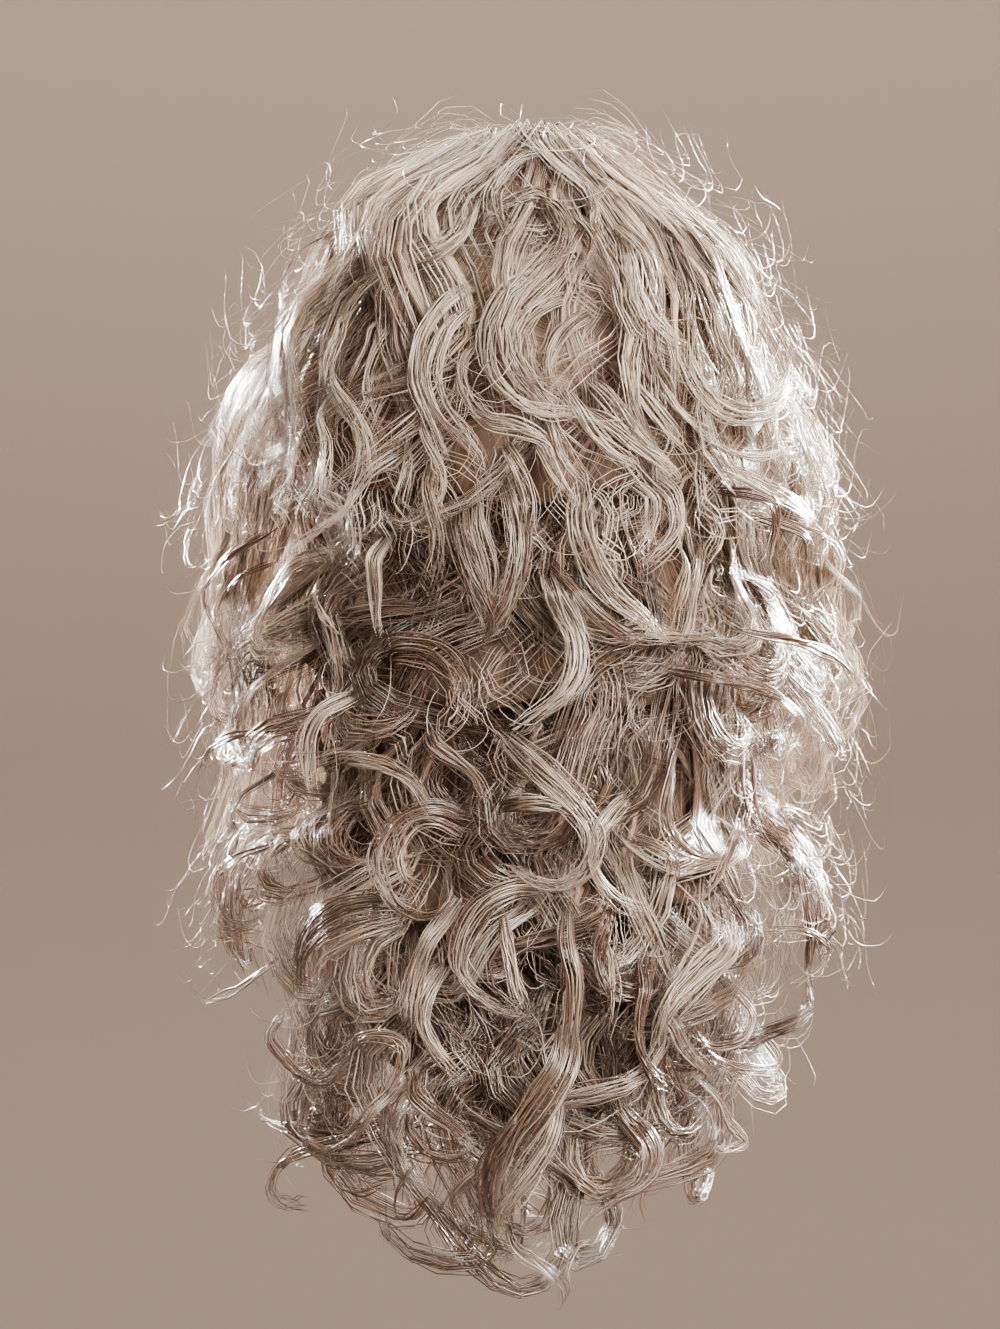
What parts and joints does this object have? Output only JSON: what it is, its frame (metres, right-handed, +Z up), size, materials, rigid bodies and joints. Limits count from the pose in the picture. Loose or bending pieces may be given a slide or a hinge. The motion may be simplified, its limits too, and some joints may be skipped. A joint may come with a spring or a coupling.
{
  "type": "curly wig",
  "caption": "Long curly wig: a hollow fitted cap with rows of layered, curled locks hanging from it, open at the face and below.",
  "frame": {"origin": "the point inside the cap where the crown of the head bears", "axes": "+Z up, +Y out of the face opening, +X towards the wearer's right"},
  "size_m": [0.3491, 0.2833, 0.5551],
  "materials": {
    "cap_net": "matte knitted net, taupe",
    "crown_hair": "pale silver-beige hair, softly glossy",
    "upper_hair": "silver-beige hair with taupe streaks, glossy",
    "middle_hair": "ash-blonde hair with rosy brown streaks, glossy",
    "nape_hair": "darker ash-blonde hair, glossy",
    "front_hair": "palest silver hair, glossy"
  },
  "bodies": {
    "root": {"wig_cap": "cap_net", "crown_hair": "crown_hair", "upper_weft_hair": "upper_hair", "middle_weft_hair": "middle_hair", "nape_weft_hair": "nape_hair", "front_hair_right": "front_hair", "front_hair_left": "front_hair"}
  },
  "joints": []
}
